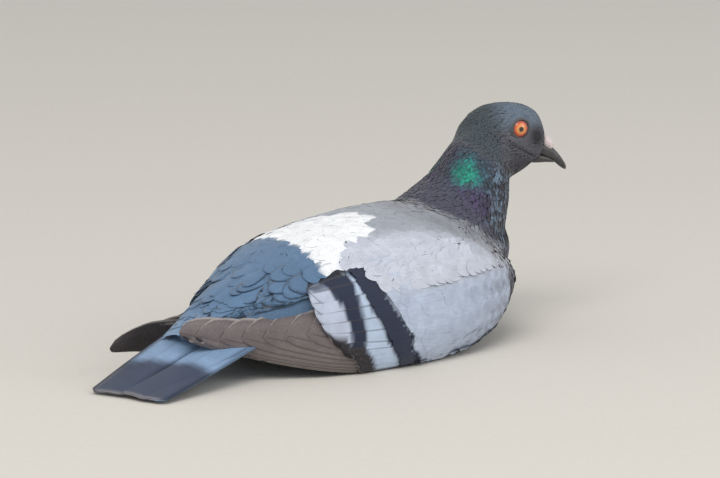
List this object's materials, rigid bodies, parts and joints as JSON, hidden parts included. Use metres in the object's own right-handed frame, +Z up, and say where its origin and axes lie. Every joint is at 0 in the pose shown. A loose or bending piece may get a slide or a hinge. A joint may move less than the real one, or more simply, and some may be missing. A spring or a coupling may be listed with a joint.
{
  "type": "feral rock pigeon model",
  "caption": "Life-size still model of a feral blue-bar pigeon resting on its belly, head turned to its right, wings loosely folded over the tail base.",
  "frame": {"origin": "middle of the footprint of the whole bird, on the floor it rests on", "axes": "+X from the tail towards the breast, +Y to the bird's left, +Z up"},
  "size_m": [0.3162, 0.1308, 0.1175],
  "materials": {
    "body_feathers": "soft blue-grey contour feathers, matt",
    "neck_feathers": "dark slate hackles with green and purple gloss",
    "head_feathers": "fine dense slate-grey feathers, matt",
    "wing_feathers": "pale blue-grey coverts with two charcoal bars, matt",
    "flight_feathers": "smooth close-webbed vanes, faint sheen",
    "horn": "dark grey horn, slightly polished",
    "cere": "powdery pinkish-white swollen skin",
    "eye": "wet glossy orange-red iris with a black pupil",
    "foot_skin": "scaly red-pink skin",
    "claw": "dark horn"
  },
  "bodies": {
    "root": {"trunk": "body_feathers", "neck": "neck_feathers", "head": "head_feathers", "bill_upper": "horn", "bill_lower": "horn", "cere": "cere", "tail": "flight_feathers", "wing_left": "wing_feathers", "wing_right": "wing_feathers", "eye_left": "eye", "eye_right": "eye", "leg_left": "foot_skin", "leg_right": "foot_skin", "claw_left_1": "claw", "claw_left_2": "claw", "claw_left_3": "claw", "claw_left_4": "claw", "claw_right_1": "claw", "claw_right_2": "claw", "claw_right_3": "claw", "claw_right_4": "claw"}
  },
  "joints": []
}
